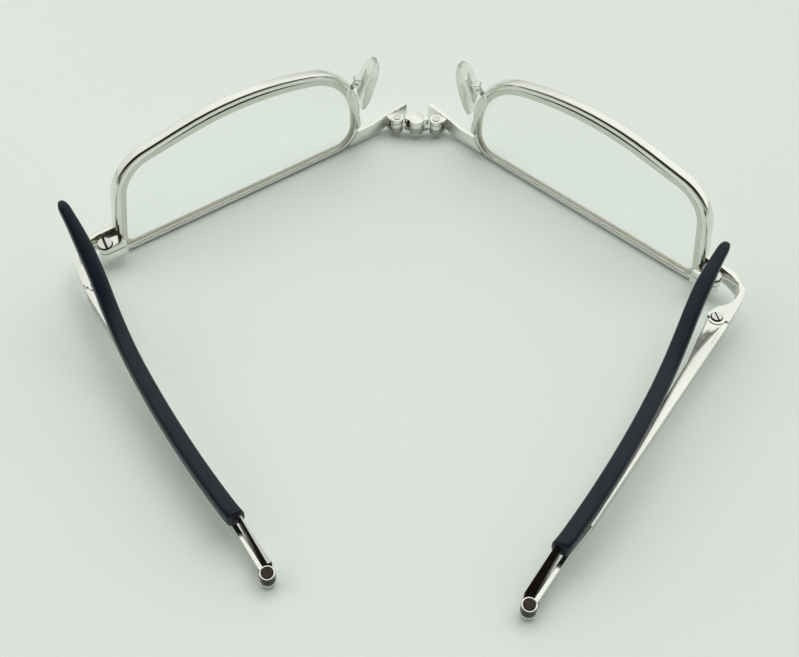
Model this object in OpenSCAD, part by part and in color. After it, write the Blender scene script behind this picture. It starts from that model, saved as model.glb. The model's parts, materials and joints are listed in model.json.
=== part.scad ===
// Folding reading glasses, lying brow down with the temples open, the bridge part folded
// and the rear half of each temple folded back along its front half.
// Millimetres. +X is to the right, +Y is away from the wearer, +Z is up.
// The resting plane is z = 0. The left half is drawn and the right half is its mirror image.

/* [Rims and lenses] */
// Width of one rim over its outer sides
rim_w = 51.6; // [48:0.1:54]
// Height of one rim, brow to lens bottom
rim_h = 24.3; // [23:0.1:27]
// Radial thickness of the rim wire
rim_wall = 1.15; // [1:0.05:1.3]
// Depth of the rim wire, front to back
rim_depth = 2; // [1.8:0.1:2.6]
// Distance from the mid-plane to the rim, along the brow
rim_inset = 11.2; // [10.6:0.1:12]
// Thickness of the lens at its middle
lens_t = 2.6; // [2.2:0.1:3]
// Radius of each lens face
lens_face_r = 420; // [300:10:600]

/* [Bridge] */
// Angle that each half has folded, from straight
bridge_fold = 39; // [30:1:42]
// Distance of each bridge pin from the mid-plane
bridge_pin_x = 3.75; // [3.6:0.05:4.2]
// Radius of the bridge knuckles
bridge_knuckle_r = 1.25; // [1.1:0.05:1.35]

/* [Temples] */
// Opening angle of the left temple, measured from the closed position
temple_open_left = 93.2; // [88:0.1:96]
// Opening angle of the right temple, measured from the closed position
temple_open_right = 97.2; // [88:0.1:99]
// Distance between the temple hinge pin and the middle hinge pin
front_len = 59.2; // [56:0.1:60]
// Height of the metal bars
bar_h = 2.9; // [2.6:0.1:3.2]
// Height of the end pieces above the resting plane
hinge_z = 3.1; // [2.9:0.1:3.3]
// Angle between the left temple's two halves
fold_gap_left = 1.8; // [1.4:0.1:3]
// Angle between the right temple's two halves
fold_gap_right = 5.5; // [1.4:0.1:6]

/* [Sleeves] */
// Distance of the sleeve's cut end from the middle hinge pin
sleeve_start = 8.4; // [8:0.1:10]
// Width of the sleeve
sleeve_w = 2.5; // [2.2:0.1:2.8]
// Height of the sleeve
sleeve_h = 3.2; // [2.9:0.1:3.4]
// Height of the sleeve's centre line above the underside of the folded bar
sleeve_z = 5.05; // [5:0.05:5.4]
// Distance from the middle hinge pin to the start of the ear bend
ear_bend_at = 39; // [37:0.5:41]
// Radius of the ear bend
ear_bend_r = 25; // [22:1:28]
// Angle of the left ear bend
ear_bend_left = 29.5; // [15:0.5:32]
// Angle of the right ear bend
ear_bend_right = 17.5; // [15:0.5:32]
// Sideways bow of the sleeve at mid-length
sleeve_bow = 2.1; // [0:0.1:2.3]
// Sideways flare of the tip
tip_flare = 1.2; // [0:0.1:1.5]
// Reach of the tip from the middle hinge pin
tip_reach = 66; // [62:0.1:66.5]

/* [Nose pads] */
// Length of a nose pad
pad_l = 11.6; // [10.5:0.1:13]
// Width of a nose pad
pad_w = 6; // [5.5:0.1:6.5]
// Thickness of a nose pad
pad_t = 2; // [1.8:0.1:2.2]

/* [Hidden] */

$fn = 48;
// play round a running pin and between knuckles
pin_play = 0.05;
knuckle_gap = 0.08;
// length of a cut that goes right through
through = 12;
// how far a cut starts outside the solid, and the relief round a turning knuckle
past = 1;
relief = 0.15;

// Half frame: x runs outward along the brow, y towards the wearer, z up
bridge_pin_a = 4.1;
bridge_pin_b = -0.9;
rim_rear = -2.6;
rim_mid = rim_rear - rim_depth / 2;
rim_front = rim_rear - rim_depth;

// Corners of the rim outline (x, z, radius), counter-clockwise from the outer brow corner
rim_out = rim_inset + rim_w;
rim_corners = [
  [rim_out + 0.4, 0, 3.2],
  [rim_out - 2.5, rim_h - 5.4, 9],
  [rim_inset + 23.3, rim_h, 55],
  [rim_inset - 0.3, rim_h - 6.6, 13],
  [rim_inset + 0.4, 0, 5.5]];
groove_depth = 0.45;
groove_w = 0.9;
bevel_play = 0.05;

// Closing block on the rear outer corner of the rim
lock_pos = [65.1, -1.65];
lock_r = 1.4;
lock_bottom = 2.7;
lock_split = 4.05;
lock_gap = 0.15;
lock_top = 5.2;
lock_screw_r = 0.45;
lock_head = [1.2, 0.5];
lock_slot_w = 0.42;
lock_slot_turn = 80;

// Temple hinge
hinge_pos = [70.4, 6.26];
hinge_r = 1.5;
hinge_clear_r = 1.65;
hinge_screw_r = 0.55;
hinge_head = [0.85, 0.3];
hinge_slot_w = 0.3;

// Temple frame: x outward, y along the bar from the hinge pin, z up from the bar's underside
mid_shift = 0.4;
bar_end_z = 0.15;
pin_foot = 0.11;
bar_drop = asin((hinge_z - bar_end_z) / front_len);
mid_knuckle_r = 1.4;
mid_pin_r = 0.45;
mid_head = [0.8, 0.25];
mid_foot_r = 0.7;
knuckle_low = bar_h / 3;
knuckle_high = 2 * bar_h / 3;

// Rear half: x inward, y along the folded rear half from the middle pin
core_w = 1.1;
core_h = 2.1;
core_end = 60;
root_w = 1.3;
root_x = 0.8;
sleeve_x = -0.55;
// the core rises clear of the folded bar before it crosses over it
ramp_from = 1.2;
ramp_to = 7.2;
shift_from = 5;
shift_to = 9.4;
flare_at = 50;

// Nose pad: centre and tilts in the half frame
pad_centre = [13.1, 2, 18.3];
pad_lean = [-9.4, -14.4, 0];
pad_turn = -28;

// ---- functions ----
function unit(v) = v / norm(v);
function rot2(v, t) = [v[0] * cos(t) - v[1] * sin(t), v[0] * sin(t) + v[1] * cos(t)];
function wrap(i, n) = (i + n) % n;
// outward normal of the edge that leaves corner i of a counter-clockwise outline
function edge_normal(c, i) =
  let (p = c[i], q = c[wrap(i + 1, len(c))], d = unit([q[0] - p[0], q[1] - p[1]]))
  [d[1], -d[0]];
// corner i after the outline has grown by g
function grown(c, i, g) =
  let (n1 = edge_normal(c, wrap(i - 1, len(c))), n2 = edge_normal(c, i))
  [c[i][0], c[i][1]] + g * (n1 + n2) / (1 + n1 * n2);
// points of the fillet at corner i, with a step of about 9 degrees
function fillet(c, i, g) =
  let (n1 = edge_normal(c, wrap(i - 1, len(c))), n2 = edge_normal(c, i),
    turn = acos(n1 * n2), r = c[i][2] + g, steps = max(3, round(turn / 9)),
    centre = grown(c, i, g) - r * (n1 + n2) / (1 + n1 * n2))
  [for (k = [0 : steps]) centre + r * rot2(n1, turn * k / steps)];
// y of a point (a, b) of the half frame, from the line of the bridge pins
function half_y(a, b) =
  rot2([a - bridge_pin_a, b - bridge_pin_b], 180 + bridge_fold)[1];
function rim_outline(g) = [for (i = [0 : len(rim_corners) - 1]) each fillet(rim_corners, i, g)];

// ---- frames ----
flap_end = 0.5;
// Middle of the resting glasses, measured from the line of the two bridge pins:
// from the flap's front corner back to the right temple's middle hinge
front_edge = half_y(flap_end, rim_front + 0.9);
right_slope = front_len * cos(bar_drop);
rear_edge = half_y(
  hinge_pos[0] + mid_shift * sin(temple_open_right) - right_slope * cos(temple_open_right),
  hinge_pos[1] + right_slope * sin(temple_open_right)) - mid_knuckle_r;
pins_y = -(front_edge + rear_edge) / 2;

// Half frame of the left side, turned about the bridge pin
module half_frame()
  translate([-bridge_pin_x, pins_y, 0])
    rotate([0, 0, 180 + bridge_fold])
      translate([-bridge_pin_a, -bridge_pin_b, 0])
        children();

module both_sides(right) {
  if (right) mirror([1, 0, 0]) half_frame() children();
  else half_frame() children();
}

// Upright slab in the plane of the rim: drawn in x and z, from y0 towards the wearer
module upright(y0, depth)
  translate([0, y0 + depth, 0]) rotate([90, 0, 0]) linear_extrude(depth) children();

module temple_frame(open)
  translate([hinge_pos[0], hinge_pos[1], 0]) rotate([0, 0, 90 - open]) children();

// Frame of the sloping bar: its underside is z = 0, the hinge pin is y = 0
module bar_frame(open)
  temple_frame(open) translate([0, 0, hinge_z]) rotate([-bar_drop, 0, 0]) children();

module rear_frame(open, gap)
  bar_frame(open) translate([mid_shift, front_len, 0]) rotate([0, 0, 180 - gap]) children();

// ---- rims and lenses ----
module rim_solid(g, y0, depth) upright(y0, depth) polygon(rim_outline(g));

module rim() color("silver") difference() {
  rim_solid(0, rim_front, rim_depth);
  rim_solid(-rim_wall, rim_front - past, rim_depth + 2 * past);
  rim_solid(groove_depth - rim_wall, rim_mid - groove_w / 2, groove_w);
  // the wire is cut where the closing block joins its two ends
  translate([rim_out - 3, rim_front - past, lock_split])
    cube([6, rim_depth + 2 * past, lock_gap]);
}

// Half the lens thickness at the distance r from its middle
function lens_half(r) = lens_t / 2 - r * r / (2 * lens_face_r);
lens_reach = 31;
lens_steps = [for (r = [0 : 3.1 : lens_reach]) r];

// The outline cut from a turned blank with two shallow faces, with a bevel in the groove
module lens() color([0.85, 0.92, 0.9, 0.4]) union() {
  intersection() {
    rim_solid(-rim_wall, rim_mid - 2, 4);
    translate([rim_inset + rim_w / 2, rim_mid, rim_h / 2]) rotate([90, 0, 0])
      rotate_extrude($fn = 96) polygon(concat(
        [for (r = lens_steps) [r, lens_half(r)]],
        [for (i = [len(lens_steps) - 1 : -1 : 0]) [lens_steps[i], -lens_half(lens_steps[i])]]));
  }
  rim_solid(groove_depth - rim_wall - bevel_play, rim_mid - groove_w / 2 + bevel_play,
    groove_w - 2 * bevel_play);
}

// ---- bridge ----
arm_bottom = 1.3;
arm_top = 4.2;
eye_low = 2.25;
eye_high = 3.25;
bridge_pin_r = 0.5;
pin_head = [0.75, 0.12];
pin_foot_head = [0.75, 0.25];
// The arm's face, along the brow and up: cover flap, neck and the band along the brow
arm_face = [[flap_end, 1.3], [5.2, 1.3], [7.2, 0.35], [14, 0], [14, 3.1], [8.6, 3.1],
  [5.4, 3.9], [flap_end, 4.4]];
arm_front = -3.7;
arm_t = 1;
arm_web = 1;
link_plate_t = 1.1;
link_boss_r = 1.45;

// A flat band from the rim's brow corner to a cover flap in front of the link,
// with a forked knuckle behind it
module bridge_arm() color("silver") difference() {
  union() {
    difference() {
      upright(arm_front, arm_t) polygon(arm_face);
      rim_solid(0, rim_front - past, rim_depth + 2 * past);
    }
    translate([bridge_pin_a, bridge_pin_b, arm_bottom])
      cylinder(r = bridge_knuckle_r, h = arm_top - arm_bottom);
    translate([bridge_pin_a - arm_web, arm_front + 0.7, arm_bottom])
      cube([bridge_knuckle_r + arm_web, bridge_pin_b - arm_front - 0.7,
        arm_top - arm_bottom - 0.4]);
  }
  translate([bridge_pin_a, bridge_pin_b, eye_low - knuckle_gap])
    cylinder(r = bridge_knuckle_r + relief + 0.1, h = eye_high - eye_low + 2 * knuckle_gap);
  translate([bridge_pin_a, bridge_pin_b, 0]) cylinder(r = bridge_pin_r + pin_play, h = through);
}

module bridge_link() color("silver") translate([0, pins_y, 0]) difference() {
  union() {
    translate([-bridge_pin_x, -link_plate_t / 2, eye_low])
      cube([2 * bridge_pin_x, link_plate_t, eye_high - eye_low]);
    for (s = [-1, 1]) translate([s * bridge_pin_x, 0, eye_low])
      cylinder(r = bridge_knuckle_r, h = eye_high - eye_low);
    translate([0, -0.2, arm_bottom]) cylinder(r = link_boss_r, h = arm_top - arm_bottom);
    translate([-1.1, 0, arm_bottom]) cube([2.2, 1.2, arm_top - arm_bottom]);
  }
  for (s = [-1, 1]) translate([s * bridge_pin_x, 0, 0])
    cylinder(r = bridge_pin_r + pin_play, h = through);
}

module bridge_pin(side) color("silver") translate([side * bridge_pin_x, pins_y, 0]) {
  translate([0, 0, arm_bottom - 0.2]) cylinder(r = bridge_pin_r, h = arm_top - arm_bottom + 0.3);
  translate([0, 0, arm_top]) cylinder(r = pin_head[0], h = pin_head[1]);
  translate([0, 0, arm_bottom - pin_foot_head[1]])
    cylinder(r = pin_foot_head[0], h = pin_foot_head[1]);
}

// ---- closing block and end piece ----
module lock_plan() {
  translate(lock_pos) circle(lock_r);
  translate([61.8, lock_pos[1] - 1]) square([lock_pos[0] - 61.8, 1 + lock_r]);
}

module lock_slab(z0, z1) difference() {
  translate([0, 0, z0]) linear_extrude(z1 - z0) lock_plan();
  rim_solid(0, rim_front, rim_depth);
  translate([lock_pos[0], lock_pos[1], 0])
    cylinder(r = lock_screw_r + pin_play, h = through);
}

module rim_lock() color("silver") lock_slab(lock_split + lock_gap, lock_top);

module rim_lock_screw() color("silver") difference() {
  translate([lock_pos[0], lock_pos[1], 0]) union() {
    translate([0, 0, lock_bottom - 0.2])
      cylinder(r = lock_screw_r, h = lock_top - lock_bottom + 0.25);
    translate([0, 0, lock_top]) cylinder(r = lock_head[0], h = lock_head[1]);
  }
  translate([lock_pos[0], lock_pos[1], lock_top + 0.45]) rotate([0, 0, lock_slot_turn])
    cube([3, lock_slot_w, 0.6], center = true);
}

// Outline of the end piece from above: out along the front, round a wide bend and
// back to the hinge
band_outer = [[60, -4.55], [66, -4.5], [68, -4.25], [69.8, -3.1], [70.85, -1.9], [71.5, 0],
  [72, 2.7], [72.45, 5.75], [71.9, 5.95]];
band_inner = [[69.1, 5.5], [69.1, 4.75], [69.25, 4.3], [69.95, 3.3], [70.5, 2.1], [70.6, 0.6],
  [70.5, -0.1], [70.15, -1.3], [69.2, -2.5], [67.2, -3.3], [65.2, -3.65], [60, -3.7]];

module end_piece() color("silver") difference() {
  union() {
    difference() {
      translate([0, 0, hinge_z]) linear_extrude(bar_h) union() {
        polygon(concat(band_outer, band_inner));
        translate(hinge_pos) circle(hinge_r);
      }
      rim_solid(0, rim_front - past, rim_depth + 2 * past);
    }
    lock_slab(lock_bottom, lock_split);
    translate([63.4, -3.8, hinge_z]) cube([1.6, 1.4, lock_split - hinge_z]);
  }
  translate([hinge_pos[0], hinge_pos[1], hinge_z + knuckle_low])
    cylinder(r = hinge_clear_r, h = knuckle_high - knuckle_low);
  translate([hinge_pos[0], hinge_pos[1], 0]) cylinder(r = hinge_screw_r + pin_play, h = through);
}

module temple_screw() color("silver") translate([hinge_pos[0], hinge_pos[1], 0]) difference() {
  union() {
    translate([0, 0, hinge_z - 0.1]) cylinder(r = hinge_screw_r, h = bar_h + 0.2);
    translate([0, 0, hinge_z + bar_h]) cylinder(r = hinge_head[0], h = hinge_head[1]);
  }
  translate([0, 0, hinge_z + bar_h + hinge_head[1]]) cube([hinge_slot_w, 3, 0.4], center = true);
}

// ---- temples ----
// The bar from above: its outer face is straight, its inner face draws in behind the hinge
// and flares out again at the middle hinge
bar_inner = mid_shift + 0.1;
front_plan = [[2.2, 0.15], [2.05, 30], [1.65, 48], [1.9, front_len - 3], [1.9, front_len - 0.1],
  [bar_inner, front_len - 0.1], [bar_inner, 24], [0.1, 10.7], [-0.6, 5.4], [-0.95, 1.35],
  [-0.95, 0.6], [0.6, 0.15]];

module temple_front(open) color("silver") difference() {
  union() {
    difference() {
      bar_frame(open) linear_extrude(bar_h) polygon(front_plan);
      temple_frame(open) cylinder(r = hinge_clear_r, h = through);
    }
    // tongue of the temple hinge
    temple_frame(open) translate([0, 0, hinge_z + knuckle_low + knuckle_gap])
      linear_extrude(knuckle_high - knuckle_low - 2 * knuckle_gap) union() {
        circle(hinge_r);
        translate([-0.9, 0]) square([2.2, 2]);
      }
    bar_frame(open) translate([mid_shift, front_len, 0]) cylinder(r = mid_knuckle_r, h = bar_h);
  }
  // gap for the rear half's middle knuckle
  bar_frame(open) translate([mid_shift, front_len, knuckle_low - knuckle_gap / 2])
    cylinder(r = mid_knuckle_r + relief, h = knuckle_high - knuckle_low + knuckle_gap);
  bar_frame(open) translate([mid_shift, front_len, -2]) cylinder(r = mid_pin_r + pin_play, h = through);
  temple_frame(open) cylinder(r = hinge_screw_r + pin_play, h = through);
}

module mid_hinge_pin(open) color("silver") bar_frame(open) translate([mid_shift, front_len, 0]) {
  cylinder(r = mid_pin_r, h = bar_h);
  translate([0, 0, bar_h]) cylinder(r = mid_head[0], h = mid_head[1]);
  translate([0, 0, -pin_foot]) cylinder(r = mid_foot_r, h = pin_foot);
}

// Centre line of the rear half (across, along, up), at the distance s along it: it ramps up
// from the hinge to the sleeve, runs along above the folded bar and turns up at the ear bend
function smooth(t) = let (u = min(1, max(0, t))) u * u * (3 - 2 * u);
function ramp(s) = smooth((s - ramp_from) / (ramp_to - ramp_from));
function shift(s) = smooth((s - shift_from) / (shift_to - shift_from));
function bend_end(bend) = ear_bend_at + ear_bend_r * sin(bend);
function bend_up(s, bend) =
  s < ear_bend_at ? 0
  : s < bend_end(bend) ? ear_bend_r - sqrt(ear_bend_r * ear_bend_r - pow(s - ear_bend_at, 2))
  : ear_bend_r * (1 - cos(bend)) + (s - bend_end(bend)) * tan(bend);
function rear_up(s, bend) =
  bar_h / 2 + (sleeve_z - bar_h / 2) * ramp(s)
  + sleeve_lift * smooth((s - sleeve_start) / (ear_bend_at - sleeve_start)) + bend_up(s, bend);
function rear_side(s) =
  let (u = max(0, (s - sleeve_start) / (tip_reach - sleeve_start)),
    f = max(0, (s - flare_at) / (tip_reach - flare_at)))
  root_x + (sleeve_x - root_x) * shift(s) - 4 * sleeve_bow * u * (1 - u) - tip_flare * f * f;
function rear_slope(s, bend) = atan((rear_up(s + 0.1, bend) - rear_up(s - 0.1, bend)) / 0.2);
sleeve_lift = 0.4;
// a closed ring of the section: an upright oval with flattened sides
function section_ring(s, bend, w, h, sides) =
  let (tilt = rear_slope(s, bend))
  [for (k = [0 : sides - 1])
    let (t = 360 * (k + 0.5) / sides, u = pow(abs(cos(t)), 0.7) * sign(cos(t)) * w / 2,
      v = pow(abs(sin(t)), 0.7) * sign(sin(t)) * h / 2)
    [rear_side(s) + u, s - v * sin(tilt), rear_up(s, bend) + v * cos(tilt)]];

// A tube of such rings, closed at both ends
module swept(rings) {
  n = len(rings[0]);
  m = len(rings);
  polyhedron(
    points = [for (r = rings) each r],
    faces = concat(
      [[for (k = [n - 1 : -1 : 0]) k]],
      [[for (k = [0 : n - 1]) (m - 1) * n + k]],
      [for (i = [0 : m - 2], k = [0 : n - 1])
        [i * n + k, (i + 1) * n + (k + 1) % n, (i + 1) * n + k]],
      [for (i = [0 : m - 2], k = [0 : n - 1])
        [i * n + k, i * n + (k + 1) % n, (i + 1) * n + (k + 1) % n]]),
    convexity = 6);
}

tip_round = 2;
// how much the section shrinks inside the rounded tip
function tip_scale(s) =
  let (left = tip_reach - s) left > tip_round ? 1 : sqrt(1 - pow(1 - left / tip_round, 2));
sleeve_stations = concat([for (k = [0 : 7]) sleeve_start + k * (ear_bend_at - 1 - sleeve_start) / 7],
  [for (s = [ear_bend_at + 0.6 : 2.1 : 62]) s],
  [for (d = [tip_round, 1.4, 0.8, 0.35, 0.08]) tip_reach - d]);
core_stations = concat([for (s = [ramp_from : 0.8 : sleeve_start - 1]) s],
  [for (s = [sleeve_start - 0.4, 16, 24, 31, 38]) s], [for (s = [40.5 : 2.6 : core_end]) s]);
// the core narrows from the hinge root to its size inside the sleeve
function core_grow(s) = 1 - smooth((s - ramp_from) / (sleeve_start - ramp_from));

module core_sweep(bend, extra) swept([for (s = core_stations)
  section_ring(s, bend, core_w + extra + (root_w - core_w) * core_grow(s),
    core_h + extra + (bar_h - 0.1 - core_h) * core_grow(s), 8)]);

module temple_rear(open, gap, bend) color("silver") rear_frame(open, gap) difference() {
  union() {
    translate([0.1, 0.1, 0]) cube([1.4, 2.4, bar_h]);
    cylinder(r = mid_knuckle_r, h = bar_h);
    core_sweep(bend, 0);
  }
  for (z = [-1, knuckle_high - knuckle_gap / 2])
    translate([0, 0, z]) cylinder(r = mid_knuckle_r + relief, h = knuckle_low + 1 + knuckle_gap / 2);
  translate([0, 0, -2]) cylinder(r = mid_pin_r + pin_play, h = through);
}

module temple_sleeve(open, gap, bend) color([0.09, 0.1, 0.14]) rear_frame(open, gap)
  difference() {
    swept([for (s = sleeve_stations)
      section_ring(s, bend, sleeve_w * tip_scale(s), sleeve_h * tip_scale(s), 12)]);
    core_sweep(bend, 0.06);
  }

// ---- nose pads ----
module pad_frame() translate(pad_centre) rotate([0, 0, pad_turn]) rotate(pad_lean) children();

pad_bow = 0.45;
pad_sides = 16;
pad_core_l = 6;
core_face = 0.2;
core_t = 0.5;
core_half_w = 0.8;
lug_w = 0.8;
lug_half_l = 0.85;
lug_axis = 1.9;
lug_end = 2.4;
box_from = 1.45;
box_to = 2.9;
box_half_w = 0.9;
box_half_l = 1.45;
box_wall = 0.3;
box_play = 0.08;
pad_screw_r = 0.28;

// Ring of the pad at the place u along it, from -1 to 1: an oval that closes in at both ends
function pad_ring(u) =
  let (full = sqrt(1 - pow(abs(u), 2.6)))
  [for (k = [0 : pad_sides - 1])
    let (t = 360 * (k + 0.5) / pad_sides)
    [pad_bow * (1 / 3 - u * u) + pad_t / 2 * full * sin(t), pad_w / 2 * full * cos(t),
      pad_l / 2 * u]];

// Clear oval pad, slightly bowed: x is its thickness, z its length, with a slot for the plate
module nose_pad() color([0.85, 0.93, 0.9, 0.5]) pad_frame() difference() {
  swept([for (t = [-90 : 15 : 90]) pad_ring(0.995 * sin(t))]);
  translate([core_face, -core_half_w, -pad_core_l / 2])
    cube([pad_t, 2 * core_half_w, pad_core_l]);
}

// Metal plate that the pad is moulded on, with the lug that the pad box holds
module pad_core() color("silver") pad_frame() difference() {
  union() {
    translate([core_face, -core_half_w, -pad_core_l / 2])
      cube([core_t, 2 * core_half_w, pad_core_l]);
    translate([core_face, -lug_w / 2, -lug_half_l])
      cube([lug_end - core_face, lug_w, 2 * lug_half_l]);
  }
  translate([lug_axis, 0, 0]) rotate([90, 0, 0])
    cylinder(r = pad_screw_r + pin_play, h = through, center = true);
}

// Box that holds the lug, on an arm that curves down to the rim's nasal side
arm_wire_r = 0.5;
arm_path = [[12.2, -2.5, 4.6], [12.4, -1.9, 5.8], [13, -1.6, 7.8], [14, -1.6, 10.2],
  [14.9, -1.7, 12.6], [15.2, -0.9, 15.8], [15.45, 0.2, 18]];
module pad_arm() color("silver") difference() {
  union() {
    pad_frame() translate([box_from, -box_half_w, -box_half_l])
      cube([box_to - box_from, 2 * box_half_w, 2 * box_half_l]);
    for (i = [0 : len(arm_path) - 2]) hull() {
      translate(arm_path[i]) sphere(arm_wire_r, $fn = 16);
      translate(arm_path[i + 1]) sphere(arm_wire_r, $fn = 16);
    }
  }
  rim_solid(0, rim_front, rim_depth);
  pad_frame() {
    translate([box_from - 1, -lug_w / 2 - box_play, box_wall - box_half_l])
      cube([lug_end + 1.15 - box_from, lug_w + 2 * box_play, 2 * (box_half_l - box_wall)]);
    translate([lug_axis, 0, 0]) rotate([90, 0, 0])
      cylinder(r = pad_screw_r, h = through, center = true);
  }
}

module pad_screw() color("silver") pad_frame() translate([lug_axis, 0, 0]) rotate([90, 0, 0]) {
  cylinder(r = pad_screw_r, h = 2 * box_half_w, center = true);
  translate([0, 0, box_half_w]) cylinder(r = 0.5, h = 0.3);
}

// ---- the part ----
both_sides(false) rim();  // rim_left
both_sides(true) rim();  // rim_right
both_sides(false) lens();  // lens_left
both_sides(true) lens();  // lens_right
bridge_link();
both_sides(false) bridge_arm();  // bridge_arm_left
both_sides(true) bridge_arm();  // bridge_arm_right
bridge_pin(-1);  // bridge_pin_left
bridge_pin(1);  // bridge_pin_right
both_sides(false) pad_arm();  // pad_arm_left
both_sides(true) pad_arm();  // pad_arm_right
both_sides(false) pad_core();  // pad_core_left
both_sides(true) pad_core();  // pad_core_right
both_sides(false) nose_pad();  // nose_pad_left
both_sides(true) nose_pad();  // nose_pad_right
both_sides(false) pad_screw();  // pad_screw_left
both_sides(true) pad_screw();  // pad_screw_right
both_sides(false) end_piece();  // end_piece_left
both_sides(true) end_piece();  // end_piece_right
both_sides(false) rim_lock();  // rim_lock_left
both_sides(true) rim_lock();  // rim_lock_right
both_sides(false) rim_lock_screw();  // rim_lock_screw_left
both_sides(true) rim_lock_screw();  // rim_lock_screw_right
both_sides(false) temple_screw();  // temple_screw_left
both_sides(true) temple_screw();  // temple_screw_right
both_sides(false) temple_front(temple_open_left);  // temple_front_left
both_sides(true) temple_front(temple_open_right);  // temple_front_right
both_sides(false) mid_hinge_pin(temple_open_left);  // mid_hinge_pin_left
both_sides(true) mid_hinge_pin(temple_open_right);  // mid_hinge_pin_right
both_sides(false) temple_rear(temple_open_left, fold_gap_left, ear_bend_left);  // temple_rear_left
both_sides(true) temple_rear(temple_open_right, fold_gap_right, ear_bend_right);  // temple_rear_right
both_sides(false) temple_sleeve(temple_open_left, fold_gap_left, ear_bend_left);  // temple_sleeve_left
both_sides(true) temple_sleeve(temple_open_right, fold_gap_right, ear_bend_right);  // temple_sleeve_right
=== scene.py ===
# %% [markdown]
# # Folding reading glasses
# A pair of metal reading glasses that folds small: a hinged bridge, hinged temples, and a
# second hinge half-way along each temple. They lie brow down on a pale table, seen from the
# wearer's side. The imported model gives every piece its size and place. This script gives
# the pieces their finish: drawn metal wire with soft edges, ground lenses, clear pads and
# dark plastic sleeves.

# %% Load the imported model
import bpy
import bmesh
import json
import math
from mathutils import Matrix, Vector


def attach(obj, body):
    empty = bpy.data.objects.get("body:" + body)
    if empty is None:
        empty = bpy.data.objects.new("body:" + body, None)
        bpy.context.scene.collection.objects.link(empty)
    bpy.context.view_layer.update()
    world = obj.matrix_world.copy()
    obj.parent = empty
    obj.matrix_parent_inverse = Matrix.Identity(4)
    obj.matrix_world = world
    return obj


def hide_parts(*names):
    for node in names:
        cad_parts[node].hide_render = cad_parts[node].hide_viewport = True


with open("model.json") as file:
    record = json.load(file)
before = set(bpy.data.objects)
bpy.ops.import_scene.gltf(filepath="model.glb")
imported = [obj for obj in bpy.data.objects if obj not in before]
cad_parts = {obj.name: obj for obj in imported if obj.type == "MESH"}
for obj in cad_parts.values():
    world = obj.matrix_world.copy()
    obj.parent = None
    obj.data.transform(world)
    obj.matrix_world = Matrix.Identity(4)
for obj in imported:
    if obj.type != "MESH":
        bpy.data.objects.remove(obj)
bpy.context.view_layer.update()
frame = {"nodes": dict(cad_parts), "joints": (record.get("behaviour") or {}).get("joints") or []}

# %% [markdown]
# ## Where things are
# Each half of the glasses is flat, so it is easiest to describe in its own coordinates:
# outward along the brow, towards the wearer, and up. One matrix carries those coordinates
# into the scene, and the right half uses the same numbers, mirrored. Further matrices go
# from the half to its temple, to the sloping bar, and to the rear half that lies folded
# back over the bar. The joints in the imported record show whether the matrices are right.

# %% Frames of the two halves
MM = 0.001
SIDES = ("left", "right")
BRIDGE_FOLD = 39
BRIDGE_PIN_X = 3.75
BRIDGE_PIN = (4.1, -0.9)
HINGE = (70.4, 6.26)
HINGE_Z = 3.1
FRONT_LEN = 59.2
BAR_END_Z = 0.15
BAR_H = 2.9
MID_SHIFT = 0.4
OPEN = {"left": 93.2, "right": 97.2}
GAP = {"left": 1.8, "right": 5.5}
joints = {j["name"]: j for j in frame["joints"]}
PINS_Y = joints["bridge_hinge_left"]["pos_m"][1] / MM


def shift(x, y, z=0):
    return Matrix.Translation((x, y, z))


def turn(degrees, axis="Z"):
    return Matrix.Rotation(math.radians(degrees), 4, axis)


def half_frame(side):
    mirror = Matrix.Diagonal((-1 if side == "right" else 1, 1, 1, 1))
    inner = shift(-BRIDGE_PIN[0], -BRIDGE_PIN[1])
    scale = Matrix.Diagonal((MM, MM, MM, 1))
    return scale @ mirror @ shift(-BRIDGE_PIN_X, PINS_Y) @ turn(180 + BRIDGE_FOLD) @ inner


def bar_frame(side):
    drop = math.degrees(math.asin((HINGE_Z - BAR_END_Z) / FRONT_LEN))
    return half_frame(side) @ shift(*HINGE, HINGE_Z) @ turn(90 - OPEN[side]) @ turn(-drop, "X")


def rear_frame(side):
    return bar_frame(side) @ shift(MID_SHIFT, FRONT_LEN) @ turn(180 - GAP[side])


for side in SIDES:
    made = rear_frame(side) @ Vector((0, 0, BAR_H / 2))
    asked = Vector(joints["mid_hinge_" + side]["pos_m"])
    print(side, "middle hinge is off by", round((made - asked).length * 1000, 4), "mm")

# %% [markdown]
# ## The camera
# The photograph looks down at the table at about 51 degrees, from the wearer's side.
# The camera's place and angles come from matching points of the glasses to where they
# appear in the picture. Several focal lengths fit almost equally well, and one was chosen.

# %% Camera
CAMERA_FROM_PINS = Vector((3.01, -163.732, 143.74))
SENSOR_WIDTH, FOCAL_LENGTH = 36, 49.66
SHIFT_X, SHIFT_Y = 0.0176, 0.0023
CAMERA_YAW, CAMERA_PITCH, CAMERA_ROLL = (math.radians(a) for a in (-2.93, 51.37, 0.85))
camera = bpy.data.objects.new("camera", bpy.data.cameras.new("camera"))
bpy.context.scene.collection.objects.link(camera)
ahead = Vector((math.sin(CAMERA_YAW) * math.cos(CAMERA_PITCH),
                math.cos(CAMERA_YAW) * math.cos(CAMERA_PITCH), -math.sin(CAMERA_PITCH)))
level = Vector((math.cos(CAMERA_YAW), -math.sin(CAMERA_YAW), 0))
above = level.cross(ahead)
camera_x = level * math.cos(CAMERA_ROLL) + above * math.sin(CAMERA_ROLL)
camera_y = above * math.cos(CAMERA_ROLL) - level * math.sin(CAMERA_ROLL)
camera.matrix_world = Matrix.Translation((CAMERA_FROM_PINS + Vector((0, PINS_Y, 0))) * MM) @ \
    Matrix((camera_x, camera_y, -ahead)).transposed().to_4x4()
camera.data.sensor_width = SENSOR_WIDTH
camera.data.lens = FOCAL_LENGTH
camera.data.shift_x, camera.data.shift_y = SHIFT_X, SHIFT_Y
camera.data.clip_start = 0.01
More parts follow.
